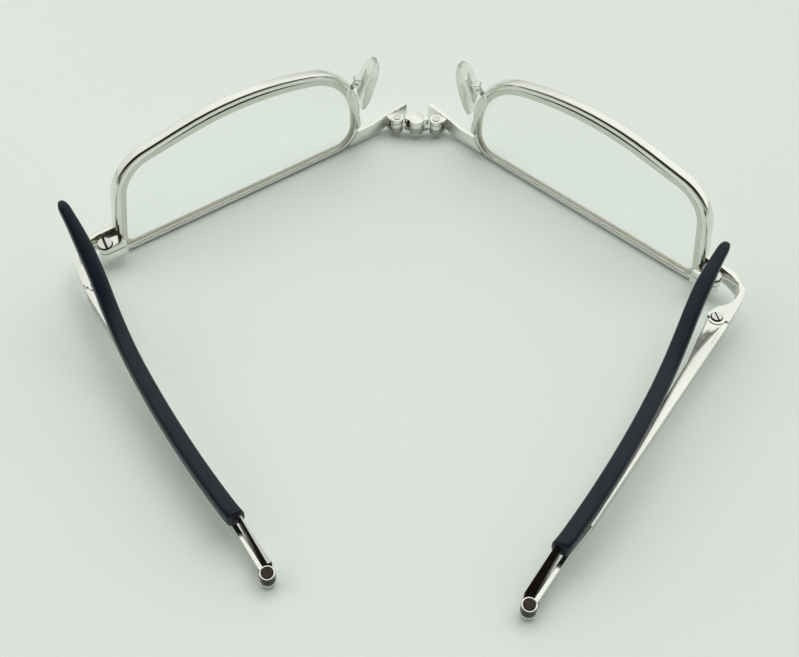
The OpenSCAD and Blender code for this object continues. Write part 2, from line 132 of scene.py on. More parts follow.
bpy.context.scene.camera = camera
print("camera at", [round(v, 4) for v in camera.matrix_world.translation])

# %% [markdown]
# ## Table and light
# The table is a plain pale sheet. Soft lamps above and to the left light the glasses as a
# light tent does. Polished metal shows its surroundings more than itself, so the world is
# drawn as a room would be: bright beyond the glasses, falling off overhead, dark above and
# behind the viewer, and grey near both horizons. It is a little dimmer on the left. Faces
# that point up then shine white, rounded edges carry a dark line, and upright faces take
# the tone of the table.

# %% Table, lamps and world
TABLE_COLOUR = (0.77, 0.82, 0.79, 1)
TABLE_SHADE = (0.75, 0.8, 0.77, 1)
TABLE_SIZE, TABLE_DROP = 4, 0.00002


def new_material(name):
    material = bpy.data.materials.new(name)
    material.use_nodes = True
    nodes = material.node_tree.nodes
    return material, nodes, material.node_tree.links, nodes["Principled BSDF"]


def add_noise(nodes, links, scale, detail=4.0):
    place = nodes.new("ShaderNodeTexCoord")
    noise = nodes.new("ShaderNodeTexNoise")
    noise.inputs["Scale"].default_value = scale
    noise.inputs["Detail"].default_value = detail
    links.new(place.outputs["Object"], noise.inputs["Vector"])
    return noise


def spread(nodes, links, source, low, high):
    span = nodes.new("ShaderNodeMapRange")
    span.inputs["To Min"].default_value = low
    span.inputs["To Max"].default_value = high
    links.new(source, span.inputs["Value"])
    return span.outputs["Result"]


def colours(nodes, links, source, stops):
    ramp = nodes.new("ShaderNodeValToRGB")
    first, last = ramp.color_ramp.elements
    first.position, first.color = stops[0]
    last.position, last.color = stops[-1]
    for position, colour in stops[1:-1]:
        ramp.color_ramp.elements.new(position).color = colour
    links.new(source, ramp.inputs["Fac"])
    return ramp.outputs["Color"]


def add_bump(nodes, links, shader, source, strength, distance):
    bump = nodes.new("ShaderNodeBump")
    bump.inputs["Strength"].default_value = strength
    bump.inputs["Distance"].default_value = distance
    links.new(source, bump.inputs["Height"])
    links.new(bump.outputs["Normal"], shader.inputs["Normal"])


table_material, nodes, links, shader = new_material("table")
tone = add_noise(nodes, links, 6)
links.new(colours(nodes, links, tone.outputs["Fac"],
                  [(0.3, TABLE_SHADE), (0.7, TABLE_COLOUR)]), shader.inputs["Base Color"])
shader.inputs["Roughness"].default_value = 0.9
shader.inputs["Specular IOR Level"].default_value = 0.1
grain = add_noise(nodes, links, 2500)
add_bump(nodes, links, shader, grain.outputs["Fac"], 0.2, 0.0001)
bpy.ops.mesh.primitive_plane_add(size=TABLE_SIZE, location=(0, 0, -TABLE_DROP))
table = bpy.context.object
table.name = "table"
table.data.materials.append(table_material)


def add_lamp(name, place, size, power, target=(0, 0, 0)):
    lamp = bpy.data.lights.new(name, "AREA")
    lamp.shape, lamp.size, lamp.energy = "DISK", size, power
    holder = bpy.data.objects.new(name, lamp)
    bpy.context.scene.collection.objects.link(holder)
    holder.location = place
    holder.rotation_euler = (Vector(target) - Vector(place)).to_track_quat("-Z", "Y").to_euler()
    holder.visible_glossy = False
    return holder


add_lamp("overhead", (0.05, 0.2, 0.8), 0.9, 3.0)
add_lamp("left_fill", (-0.6, -0.1, 0.5), 0.6, 0.8)

# angle round the left-right axis, as a share of a half turn: 0 is the far horizon,
# 0.5 is overhead and 1 is the horizon behind the viewer
ROOM = [
    (0.0, (0.54, 0.55, 0.5, 1)), (0.12, (0.85, 0.86, 0.80, 1)), (0.2, (1.06, 1.08, 1.01, 1)),
    (0.44, (1.06, 1.08, 1.01, 1)), (0.53, (0.55, 0.55, 0.5, 1)), (0.56, (0.012, 0.012, 0.01, 1)),
    (0.81, (0.015, 0.014, 0.011, 1)), (0.9, (0.33, 0.33, 0.29, 1)), (1.0, (0.44, 0.45, 0.4, 1))]
BACKDROP = (0.6, 0.65, 0.6, 1)
world = bpy.data.worlds.new("studio")
bpy.context.scene.world = world
world.use_nodes = True
nodes, links = world.node_tree.nodes, world.node_tree.links
background = nodes["Background"]
direction = nodes.new("ShaderNodeTexCoord")
axes = nodes.new("ShaderNodeSeparateXYZ")
links.new(direction.outputs["Generated"], axes.inputs["Vector"])
arc = nodes.new("ShaderNodeMath")
arc.operation = "ARCTAN2"
links.new(axes.outputs["Z"], arc.inputs[0])
links.new(axes.outputs["Y"], arc.inputs[1])
share = nodes.new("ShaderNodeMath")
share.operation = "DIVIDE"
share.inputs[1].default_value = math.pi
links.new(arc.outputs["Value"], share.inputs[0])
left_dim = nodes.new("ShaderNodeMapRange")
for name, value in (("From Min", -0.8), ("From Max", -0.1), ("To Min", 0.8), ("To Max", 1.0)):
    left_dim.inputs[name].default_value = value
links.new(axes.outputs["X"], left_dim.inputs["Value"])
dimmed = nodes.new("ShaderNodeVectorMath")
dimmed.operation = "SCALE"
links.new(colours(nodes, links, share.outputs["Value"], ROOM), dimmed.inputs[0])
links.new(left_dim.outputs["Result"], dimmed.inputs["Scale"])
links.new(dimmed.outputs["Vector"], background.inputs["Color"])
# where the floor ends the camera sees a plain backdrop, a little darker than the table
backdrop = nodes.new("ShaderNodeBackground")
backdrop.inputs["Color"].default_value = BACKDROP
seen = nodes.new("ShaderNodeLightPath")
choose = nodes.new("ShaderNodeMixShader")
links.new(seen.outputs["Is Camera Ray"], choose.inputs["Fac"])
links.new(background.outputs["Background"], choose.inputs[1])
links.new(backdrop.outputs["Background"], choose.inputs[2])
links.new(choose.outputs["Shader"], nodes["World Output"].inputs["Surface"])
background.inputs["Strength"].default_value = 1.0
bpy.context.scene.view_settings.view_transform = "Standard"

# %% [markdown]
# ## Silver metal
# The frame is thin metal wire and plate with a bright plated finish. A fully metallic
# shader with low roughness does most of the work. Fine noise varies the roughness a little,
# as handling does, and a faint bump bends the reflections as real plating does. Three
# further kinds paint light and shade into faces of the hinges, the screws and the bridge:
# a near-black metal and a dimmer silver are painted shade, and a light satin silver is a
# painted highlight. Whether the real faces are worn or only reflect something dark isn't
# known.

# %% Metal materials
def make_metal(name, colour, smooth, rough, bump_size, metallic=1.0):
    material, nodes, links, shader = new_material(name)
    shader.inputs["Metallic"].default_value = metallic
    wear = add_noise(nodes, links, 900, 6)
    links.new(spread(nodes, links, wear.outputs["Fac"], smooth, rough), shader.inputs["Roughness"])
    tint = add_noise(nodes, links, 120, 3)
    darker = tuple(c * 0.93 for c in colour[:3]) + (1,)
    links.new(colours(nodes, links, tint.outputs["Fac"], [(0.35, darker), (0.65, colour)]),
              shader.inputs["Base Color"])
    add_bump(nodes, links, shader, wear.outputs["Fac"], 0.12, bump_size)
    return material


silver = make_metal("polished_silver", (0.84, 0.845, 0.8, 1), smooth=0.08,
                    rough=0.2, bump_size=0.00001)
steel = make_metal("turned_steel", (0.7, 0.71, 0.69, 1), smooth=0.16,
                   rough=0.3, bump_size=0.00002)
# painted highlight: a lighter, satin silver for the lit edge of the left blade
painted_highlight_silver = make_metal("painted_highlight_silver", (0.9, 0.91, 0.87, 1), smooth=0.4,
                          rough=0.55, bump_size=0.00001, metallic=0.35)
# painted shade: a dimmer silver for the lower parts of the bridge
painted_shade_silver = make_metal("painted_shade_silver", (0.42, 0.41, 0.34, 1), smooth=0.12,
                         rough=0.28, bump_size=0.00001)
# painted shade: a near-black metal for shaded hinge faces, screw recesses and the gap beside the
# link's boss
painted_shade_metal = make_metal("painted_shade_dark_metal", (0.045, 0.036, 0.03, 1), smooth=0.22,
                        rough=0.42, bump_size=0.00002)

# %% [markdown]
# ## Dark sleeves, clear pads and lenses
# The sleeves are navy, almost black plastic with a soft gloss and faint scuffs. The pads
# are clear soft plastic that scatters a little light. The lenses are clear plastic: light
# passes through them to the table, so shadow rays are let through with a slight tint. A
# narrow band round each lens is painted cream and only half clear against the table:
# painted light that stands in for the lens's thick edge seen through the glass.

# %% Plastic and lens materials
def make_sleeve_plastic():
    material, nodes, links, shader = new_material("navy_plastic")
    tone = add_noise(nodes, links, 60, 3)
    links.new(colours(nodes, links, tone.outputs["Fac"],
                      [(0.3, (0.006, 0.008, 0.014, 1)), (0.75, (0.011, 0.015, 0.028, 1))]),
              shader.inputs["Base Color"])
    scuff = add_noise(nodes, links, 700, 8)
    links.new(spread(nodes, links, scuff.outputs["Fac"], 0.28, 0.46), shader.inputs["Roughness"])
    shader.inputs["Specular IOR Level"].default_value = 0.27
    add_bump(nodes, links, shader, scuff.outputs["Fac"], 0.15, 0.00002)
    return material


def make_clear(name, colour, rough, through, shade, index=1.5):
    material, nodes, links, shader = new_material(name)
    shader.inputs["Base Color"].default_value = colour
    shader.inputs["IOR"].default_value = index
    shader.inputs["Transmission Weight"].default_value = through
    smear = add_noise(nodes, links, 260, 5)
    blur = spread(nodes, links, smear.outputs["Fac"], 0.6 * rough, rough)
    links.new(blur, shader.inputs["Roughness"])
    # shadow rays pass, so that the table under the clear piece stays lit
    rays = nodes.new("ShaderNodeLightPath")
    clear = nodes.new("ShaderNodeBsdfTransparent")
    clear.inputs["Color"].default_value = shade
    mix = nodes.new("ShaderNodeMixShader")
    links.new(rays.outputs["Is Shadow Ray"], mix.inputs["Fac"])
    links.new(shader.outputs["BSDF"], mix.inputs[1])
    links.new(clear.outputs["BSDF"], mix.inputs[2])
    links.new(mix.outputs["Shader"], nodes["Material Output"].inputs["Surface"])
    return material


navy = make_sleeve_plastic()
lens_clear = make_clear("lens_clear", (0.975, 0.99, 0.98, 1), rough=0.02, through=1.0,
                        shade=(0.95, 0.97, 0.95, 1))
pad_clear = make_clear("pad_clear", (0.92, 0.955, 0.89, 1), rough=0.25, through=0.82,
                       shade=(0.93, 0.95, 0.91, 1), index=1.16)
# painted light: a cream, half-clear band for the thick lens edge seen through the glass
edge_band_paint = make_clear("painted_lens_edge_band", (0.70, 0.69, 0.58, 1), rough=0.5, through=0.45,
                       shade=(0.8, 0.8, 0.72, 1))
print("materials:", [m.name for m in bpy.data.materials])

# %% [markdown]
# ## Helpers for making pieces
# Most pieces are a section carried along a path, which is how wire and moulded sleeves
# look. `skin` joins the rings into one closed mesh. `finish_piece` gives the piece its
# material, hangs it on the body it rides on and hides the node it stands for. `soft_edges`
# copies a machined node and rounds its edges, because no real edge is perfectly sharp.

# %% Mesh helpers
def finish_piece(piece, material, body, slot_name, *nodes_replaced):
    piece.data.materials.clear()
    piece.data.materials.append(material)
    for face in piece.data.polygons:
        face.use_smooth = True
    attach(piece, body)
    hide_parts(*nodes_replaced)
    return piece


def mesh_piece(name, points, faces):
    mesh = bpy.data.meshes.new(name)
    mesh.from_pydata([tuple(p) for p in points], [], faces)
    shape = bmesh.new()
    shape.from_mesh(mesh)
    bmesh.ops.remove_doubles(shape, verts=shape.verts, dist=1e-7)
    bmesh.ops.recalc_face_normals(shape, faces=shape.faces)
    shape.to_mesh(mesh)
    shape.free()
    piece = bpy.data.objects.new(name, mesh)
    bpy.context.scene.collection.objects.link(piece)
    return piece


def skin(rings, closed=False):
    """Faces between rings of equal length; an open run gets a cap at each end."""
    count, size = len(rings), len(rings[0])
    faces = []
    for i in range(count if closed else count - 1):
        here, there = i * size, (i + 1) % count * size
        for k in range(size):
            after = (k + 1) % size
            faces.append((here + k, here + after, there + after, there + k))
    if not closed:
        faces.append(tuple(range(size)))
        faces.append(tuple(range((count - 1) * size, count * size)))
    return [p for ring in rings for p in ring], faces


def sharpen(piece, degrees=38):
    """Keeps creases where faces meet at more than the given angle."""
    shape = bmesh.new()
    shape.from_mesh(piece.data)
    for edge in shape.edges:
        edge.smooth = edge.calc_face_angle(math.pi) < math.radians(degrees)
    shape.to_mesh(piece.data)
    shape.free()


def soften(piece, radius, segments):
    bevel = piece.modifiers.new("soft_edges", "BEVEL")
    bevel.width = radius * MM
    bevel.segments = segments
    bevel.limit_method = "ANGLE"
    bevel.angle_limit = math.radians(34)
    bevel.harden_normals = True


def soft_edges(node, material, body, slot_name, radius=0.09, segments=2):
    mesh = frame["nodes"][node].data.copy()
    shape = bmesh.new()
    shape.from_mesh(mesh)
    bmesh.ops.remove_doubles(shape, verts=shape.verts, dist=2e-6)
    bmesh.ops.dissolve_limit(shape, angle_limit=math.radians(1.5), verts=shape.verts,
                             edges=shape.edges)
    shape.to_mesh(mesh)
    shape.free()
    piece = bpy.data.objects.new(node + "_finished", mesh)
    bpy.context.scene.collection.objects.link(piece)
    soften(piece, radius, segments)
    return finish_piece(piece, material, body, slot_name, node)


def repaint(piece, material, place, chosen):
    """Gives a second material to the faces whose middle, in the place's millimetres, is chosen."""
    back = place.inverted()
    piece.data.materials.append(material)
    for face in piece.data.polygons:
        if chosen(back @ Vector(face.center)):
            face.material_index = len(piece.data.materials) - 1


def arc_points(centre, radius, start, end, steps=5):
    return [(centre[0] + radius * math.cos(math.radians(start + (end - start) * k / steps)),
             centre[1] + radius * math.sin(math.radians(start + (end - start) * k / steps)))
            for k in range(steps + 1)]


def extrude(outline, low, high):
    """A closed slab: the outline, counter-clockwise from above, between two heights."""
    count = len(outline)
    points = [(x, y, z) for z in (low, high) for x, y in outline]
    faces = [tuple(range(count))[::-1], tuple(range(count, 2 * count))]
    faces += [(k, (k + 1) % count, count + (k + 1) % count, count + k) for k in range(count)]
    return points, faces


def join_shapes(*shapes):
    points, faces = [], []
    for some_points, some_faces in shapes:
        faces += [tuple(len(points) + k for k in face) for face in some_faces]
        points += some_points
    return points, faces


# %% [markdown]
# ## Rims
# A rim is drawn wire with a groove rolled into its inner side, bent round the lens and cut
# once beside the hinge, where the closing block pulls its ends together. The outline is
# five corners with different radii, as in the construction. The wire's section is carried
# along it, from one side of the cut round to the other.

# %% Rim outline
RIM_W, RIM_H, RIM_INSET = 51.6, 24.3, 11.2
RIM_WALL, RIM_DEPTH, RIM_REAR = 1.15, 2.0, -2.6
GROOVE_DEPTH, GROOVE_W = 0.45, 0.9
RIM_MID = RIM_REAR - RIM_DEPTH / 2
RIM_OUT = RIM_INSET + RIM_W
CORNERS = [(RIM_OUT + 0.4, 0, 3.2), (RIM_OUT - 2.5, RIM_H - 5.4, 9), (RIM_INSET + 23.3, RIM_H, 55),
           (RIM_INSET - 0.3, RIM_H - 6.6, 13), (RIM_INSET + 0.4, 0, 5.5)]
LOCK_CUT = (4.05, 4.2)


def edge_normal(i):
    start, end = (Vector(CORNERS[k % 5][:2]) for k in (i, i + 1))
    along = (end - start).normalized()
    return Vector((along.y, -along.x))


def rim_outline(step=3.0):
    """Points and outward normals, from one side of the cut round to the other."""
    outline = []
    for i in (1, 2, 3, 4, 0):
        before, after = edge_normal(i - 1), edge_normal(i)
        angle = math.degrees(before.angle(after))
        radius = CORNERS[i][2]
        middle = Vector(CORNERS[i][:2]) - radius * (before + after) / (1 + before.dot(after))
        steps = max(6, round(angle / step))
        for k in range(steps + 1):
            normal = before.copy()
            normal.rotate(Matrix.Rotation(math.radians(angle * k / steps), 2))
            outline.append((middle + radius * normal, normal))
    cut_normal = edge_normal(0)
    foot = Vector(CORNERS[0][:2])
    along = (Vector(CORNERS[1][:2]) - foot).normalized()
    ends = [(foot + along * (z / along.y), cut_normal) for z in LOCK_CUT]
    return [ends[1]] + outline + [ends[0]]


OUTLINE = rim_outline()
print("rim outline:", len(OUTLINE), "stations")

# %% [markdown]
# The wire's section is a rounded rectangle with the groove on its inner side. The corner
# towards the wearer is rounded most, so that it carries a fine dark line between the
# bright outer band and the rear face. The line in the photograph is wider and blacker.

# %% Rims
def rim_section():
    """(outward from the outline, towards the wearer from the middle of the depth)"""
    half, inner, lip = RIM_DEPTH / 2, 0.16, GROOVE_W / 2
    rear_r, r = 0.62, 0.34
    floor = -RIM_WALL + GROOVE_DEPTH
    section = arc_points((-rear_r, half - rear_r), rear_r, 0, 90, 9)
    section += arc_points((-RIM_WALL + inner, half - inner), inner, 90, 180, 3)
    section += [(-RIM_WALL, lip), (floor, lip), (floor, -lip), (-RIM_WALL, -lip)]
    section += arc_points((-RIM_WALL + inner, -half + inner), inner, 180, 270, 3)
    section += arc_points((-r, -half + r), r, 270, 360)
    return section


def make_rim(side):
    place = half_frame(side)
    rings = [[place @ Vector((p.x + n.x * out, RIM_MID + back, p.y + n.y * out))
              for out, back in rim_section()] for p, n in OUTLINE]
    rim = mesh_piece("rim_wire_" + side, *skin(rings))
    sharpen(rim)
    return finish_piece(rim, silver, "front_" + side, "frame_silver", "rim_" + side)


for side in SIDES:
    print(make_rim(side).name, "made")

# %% [markdown]
# ## Lenses
# A reading lens is thicker in the middle and thins towards its edge. Rings of the rim's
# inner outline shrink towards the centre, and each point's depth follows the ground
# curve, so the surface is smooth. The bevel round the edge sits in the rim's groove.

# %% Lenses
LENS_T, LENS_R = 2.6, 420
LENS_RINGS = 14
EDGE_BAND = 1.05
PLAY, CHAMFER, LENS_GAP = 0.05, 0.2, 0.02


def lens_half(r):
    return LENS_T / 2 - r * r / (2 * LENS_R)


def make_lens(side):
    place = half_frame(side)
    edge = [(p - n * RIM_WALL, n) for p, n in OUTLINE[1:-1]]
    centre = Vector((RIM_INSET + RIM_W / 2, RIM_H / 2))

    def surface(sign):
        rings = [[centre.lerp(p - n * EDGE_BAND, k / LENS_RINGS) for p, n in edge]
                 for k in range(1, LENS_RINGS + 1)]
        rings += [[p - n * EDGE_BAND / 2 for p, n in edge], [p for p, _ in edge]]
        return [[Vector((q.x, RIM_MID + sign * lens_half((q - centre).length), q.y))
                 for q in ring] for ring in rings]

    tongue, lip = GROOVE_DEPTH - PLAY, GROOVE_W / 2 - PLAY
    bevel = [[Vector((p.x + n.x * out, RIM_MID + back, p.y + n.y * out)) for p, n in edge]
             for out, back in ((LENS_GAP, lip), (tongue - CHAMFER, lip),
                               (tongue, lip - CHAMFER), (tongue, CHAMFER - lip),
                               (tongue - CHAMFER, -lip), (LENS_GAP, -lip))]
    rings = surface(1) + bevel + surface(-1)[::-1]
    points, faces = skin([[place @ p for p in ring] for ring in rings])
    lens = mesh_piece("lens_ground_" + side, points, faces)
    sharpen(lens, 30)
    finish_piece(lens, lens_clear, "front_" + side, "lens_clear", "lens_" + side)
    # the outer band of one face gets the painted edge band
    lens.data.materials.append(edge_band_paint)
    first = (LENS_RINGS - 1) * len(edge)
    for face in lens.data.polygons[first:first + 2 * len(edge)]:
        face.material_index = 1
    return lens


for side in SIDES:
    print(make_lens(side).name, "made")

# %% [markdown]
# ## Machined pieces
# Bridge arms, link, bridge pins, end pieces, blocks, pad screws, pad plates and front bars
# are copied from the imported model with their edges softened. The lower knuckles of the
# bridge arms get a dimmer silver, painted shade on their lower parts. Each bar is cut off
# before the middle hinge, and a later cell draws its end.

# %% Machined pieces
BAR_CUT = 44
SHADE_BELOW, KNUCKLE_REACH = 2.9, 1.9


def cut_off(piece, place, reach):
    """Cuts the piece square across at this distance along the place's y, and closes it."""
    shape = bmesh.new()
    shape.from_mesh(piece.data)
    along = (place.to_3x3() @ Vector((0, 1, 0))).normalized()
    bmesh.ops.bisect_plane(shape, geom=shape.verts[:] + shape.edges[:] + shape.faces[:],
                           plane_co=place @ Vector((0, reach, 0)), plane_no=along,
                           clear_outer=True)
    bmesh.ops.holes_fill(shape, edges=[edge for edge in shape.edges if edge.is_boundary])
    shape.to_mesh(piece.data)
    shape.free()


for side in SIDES:
    front, temple = "front_" + side, "temple_" + side
    for node, radius in (("bridge_arm", 0.1), ("end_piece", 0.12), ("rim_lock", 0.1)):
        piece = soft_edges(f"{node}_{side}", silver, front, "frame_silver", radius)
        if node == "bridge_arm":
            # painted shade: the lower part of each knuckle gets the dimmer silver
            repaint(piece, painted_shade_silver, half_frame(side) @ shift(*BRIDGE_PIN),
                    lambda middle: middle.z < SHADE_BELOW
                    and math.hypot(middle.x, middle.y) < KNUCKLE_REACH)
    soft_edges("pad_screw_" + side, steel, front, "screw_steel", 0.05)
    bar = soft_edges("temple_front_" + side, silver, temple, "frame_silver", 0.16, 3)
    cut_off(bar, bar_frame(side), BAR_CUT)
    soft_edges("bridge_pin_" + side, steel, "bridge", "screw_steel", 0.06)
    soft_edges("pad_core_" + side, steel, "pad_" + side, "frame_silver", 0.05)
soft_edges("bridge_link", silver, "bridge", "frame_silver", 0.12)

# %% [markdown]
# ## The saddle of the bridge link
# Between its two eyes the link is a solid saddle, with a rounded boss towards the wearer
# and a flat side behind. It is drawn from above and extruded, which suits a stamped part.
# Its lower layer is a dimmer silver and a small box stands beside the boss, both painted shade.

# %% Link saddle
SADDLE = [(2.3, 0.9), (-2.3, 0.9), (-2.35, -0.1), (-1.75, -0.5)]
SADDLE += arc_points((0, -0.25), 1.4, 195, 345, 12)
SADDLE += [(1.75, -0.5), (2.35, -0.1)]
SADDLE_LOW, SADDLE_TOP = 1.4, 4.1
SPOT_LOW, SPOT_TOP = 2.4, 3.6
# a small box beside the boss that carries painted shade
SHADE_SPOT = [(-2, -0.3), (-1.9, -0.75), (-1.3, -0.75), (-1.2, -0.3)]
saddle_place = Matrix.Diagonal((MM, MM, MM, 1)) @ shift(0, PINS_Y)
points, faces = join_shapes(extrude(SADDLE, SADDLE_LOW, SHADE_BELOW),
                            extrude(SADDLE, SHADE_BELOW, SADDLE_TOP),
                            extrude(SHADE_SPOT, SPOT_LOW, SPOT_TOP))
saddle = mesh_piece("link_saddle", [saddle_place @ Vector(p) for p in points], faces)
soften(saddle, 0.18, 3)
finish_piece(saddle, silver, "bridge", "frame_silver")
# painted shade on the lower layer
repaint(saddle, painted_shade_silver, saddle_place, lambda middle: middle.z < SHADE_BELOW - 0.05)
# painted shade on the small box beside the boss
repaint(saddle, painted_shade_metal, saddle_place,
        lambda middle: middle.x < -1.2 and middle.y < -0.5
        and SPOT_LOW - 0.1 < middle.z < SPOT_TOP + 0.1)
print("saddle points:", len(saddle.data.vertices))

# %% [markdown]
# ## Slotted screws
# The screw heads are small discs with a straight slot. A head is made from a base and two
# half discs with a gap between them, and a fine dark ring lies round it. The ring, the
# base and the floor of the slot carry painted shade, for the shade in the countersink and
# in the slot.

# %% Slotted screws
SLOT_FLOOR = 0.4
RING_H = 0.04


def half_disc(radius, gap, sign):
    start = math.degrees(math.asin(gap / radius))
    ends = (start, 180 - start) if sign > 0 else (180 + start, 360 - start)
    return arc_points((0, 0), radius, *ends, 18)


def make_screw(node, side, place, radius, height, slot, ring):
    base = arc_points((0, 0), radius, 0, 350, 35)
    slot_floor = SLOT_FLOOR * height
    shapes = [extrude(arc_points((0, 0), ring, 0, 350, 35), 0, RING_H),
              extrude(base, 0, slot_floor)]
    shapes += [extrude(half_disc(radius, slot / 2, sign), slot_floor, height) for sign in (1, -1)]
    points, faces = join_shapes(*shapes)
    screw = mesh_piece(f"{node}_head_{side}", [place @ Vector(p) for p in points], faces)
    sharpen(screw, 30)
    finish_piece(screw, steel, "front_" + side, "screw_steel", f"{node}_{side}")
    # painted shade on the ring, the base and the slot floor
    repaint(screw, painted_shade_metal, place, lambda middle: middle.z < (SLOT_FLOOR + 0.01) * height)
    return screw


LOCK_AT, LOCK_TOP = (65.1, -1.65), 5.2
for side in SIDES:
    half = half_frame(side)
    lock_screw = make_screw("rim_lock_screw", side, half @ shift(*LOCK_AT, LOCK_TOP) @ turn(80),
                            1.2, 0.5, 0.45, 1.34)
    hinge_screw = make_screw("temple_screw", side,
                             half @ shift(*HINGE, HINGE_Z + BAR_H) @ turn(35),
                             0.85, 0.3, 0.26, 1.02)
    print(lock_screw.name, hinge_screw.name, "made")

# %% [markdown]
# ## Sleeves
# A sleeve is a moulded tube over the metal core: flat sides, a rounded top, a straight cut
# where it starts and a round tip. It runs along above the folded bar, bows a little to
# the side and turns up at the ear bend. The two bends have different angles because that
# brings both tips close to where the photograph shows them. The real bends may be equal.

# %% Sleeve path
SLEEVE_START, SLEEVE_W, SLEEVE_H, SLEEVE_Z = 8.4, 2.65, 3.2, 5.05
EAR_AT, EAR_R = 39, 25
EAR_BEND = {"left": 29.5, "right": 17.5}
TIP_REACH, TIP_FLARE, SLEEVE_BOW, FLARE_AT = 66, 1.8, 2.1, 52
ROOT_X, SLEEVE_X, SLEEVE_LIFT = 0.8, -0.55, 0.4
RAMP_FROM, RAMP_LENGTH = 5, 4.4


def smooth_step(t):
    t = min(1, max(0, t))
    return t * t * (3 - 2 * t)


def sleeve_up(s, bend):
    end = EAR_AT + EAR_R * math.sin(bend)
    rise = SLEEVE_Z + SLEEVE_LIFT * smooth_step((s - SLEEVE_START) / (EAR_AT - SLEEVE_START))
    if s > end:
        return rise + EAR_R * (1 - math.cos(bend)) + (s - end) * math.tan(bend)
    if s > EAR_AT:
        return rise + EAR_R - math.sqrt(EAR_R ** 2 - (s - EAR_AT) ** 2)
    return rise


def sleeve_side(s):
    u = (s - SLEEVE_START) / (TIP_REACH - SLEEVE_START)
    f = max(0, (s - FLARE_AT) / (TIP_REACH - FLARE_AT))
    across = ROOT_X + (SLEEVE_X - ROOT_X) * smooth_step((s - RAMP_FROM) / RAMP_LENGTH)
    return across - 4 * SLEEVE_BOW * u * (1 - u) - TIP_FLARE * f * f


# %% Sleeves
SECTION_SIDES = 32
SQUARENESS = 0.55
TIP_ROUND, TIP_RINGS, TIP_SPAN = 1.5, 8, 8.3
FULL_AT, SLEEVE_STEPS = 0.35, 44
TAPER, TAPER_LENGTH = 0.32, 9.0


def sleeve_size(s):
    """Share of the full section: the sleeve narrows over its last stretch."""
    return 1 - TAPER * smooth_step((s - TIP_REACH + TAPER_LENGTH) / TAPER_LENGTH)


def sleeve_ring(s, bend, grow):
    slope = math.atan((sleeve_up(s + 0.1, bend) - sleeve_up(s - 0.1, bend)) / 0.2)
    ring = []
    for k in range(SECTION_SIDES):
        t = 2 * math.pi * (k + 0.5) / SECTION_SIDES
        c, h = math.cos(t), math.sin(t)
        u = math.copysign(abs(c) ** SQUARENESS, c) * SLEEVE_W / 2 * grow
        v = math.copysign(abs(h) ** SQUARENESS, h) * SLEEVE_H / 2 * grow
        ring.append(Vector((sleeve_side(s) + u, s - v * math.sin(slope),
                            sleeve_up(s, bend) + v * math.cos(slope))))
    return ring


def make_sleeve(side):
    place, bend = rear_frame(side), math.radians(EAR_BEND[side])
    straight = TIP_REACH - TIP_ROUND
    full = SLEEVE_START + FULL_AT
    stations = [(SLEEVE_START, 0.86), (SLEEVE_START + 0.12, 0.96), (full, 1)]
    stations += [(full + (straight - full) * (k + 1) / SLEEVE_STEPS, 1)
                 for k in range(SLEEVE_STEPS)]
    for k in range(1, TIP_RINGS + 1):
        a = math.pi / 2 * k / TIP_SPAN
        stations.append((straight + TIP_ROUND * math.sin(a), math.cos(a)))
    rings = [[place @ p for p in sleeve_ring(s, bend, grow * sleeve_size(s))]
             for s, grow in stations]
    sleeve = mesh_piece("sleeve_moulded_" + side, *skin(rings))
    sharpen(sleeve, 50)
    return finish_piece(sleeve, navy, "rear_" + side, "sleeve_navy", "temple_sleeve_" + side)


for side in SIDES:
    print(make_sleeve(side).name, "made")

# %% [markdown]
# ## Middle hinges
# Towards the middle hinge each bar is a thin strip on edge. The front half ends in two
# barrels and the rear half in one between them, on a headed pin. The rear half's strip
# climbs straight to the sleeve, because the sleeve lies above the folded bar. The lowest
# barrel stays silver. The one above it is painted shade all over, the top one is painted
# shade except for its upper face, and the pin is painted shade. The left blade has painted
# shade beside the bar and a painted highlight on its other edge, and the right blade is
# painted shade all over.

# %% Middle hinges
BARREL_R = 1.15
BARREL_GAP = 0.05
BAR_STOP = 57.9
PIN_R, PIN_FOOT, HEAD_R, HEAD_H = 0.42, -0.1, 0.92, 0.15
BLADE_FROM, BLADE_TO = 1.2, 8.9
BLADE_CLIMB, BLADE_HALF_H, BLADE_THINS, BLADE_CORNER = 3.15, 1.4, 0.2, 0.1
BLADE_SIDE, BLADE_NARROWS, GAP_FILLED = 1.35, 1.1, 0.8
BARREL_TO, SHADE_SLOPE = 1.3, 0.1
SHADE_TO = {"left": 0.8, "right": 2.3}
STRIP = [(0.5, BAR_CUT), (1.74, BAR_CUT), (1.3, 50), (1.2, BAR_STOP), (0.5, BAR_STOP)]
LEVELS = [(0, BAR_H / 3 - BARREL_GAP), (BAR_H / 3, 2 * BAR_H / 3),
          (2 * BAR_H / 3 + BARREL_GAP, BAR_H)]


def disc(x, y, radius, low, high):
    return extrude(arc_points((x, y), radius, 0, 350, 35), low, high)


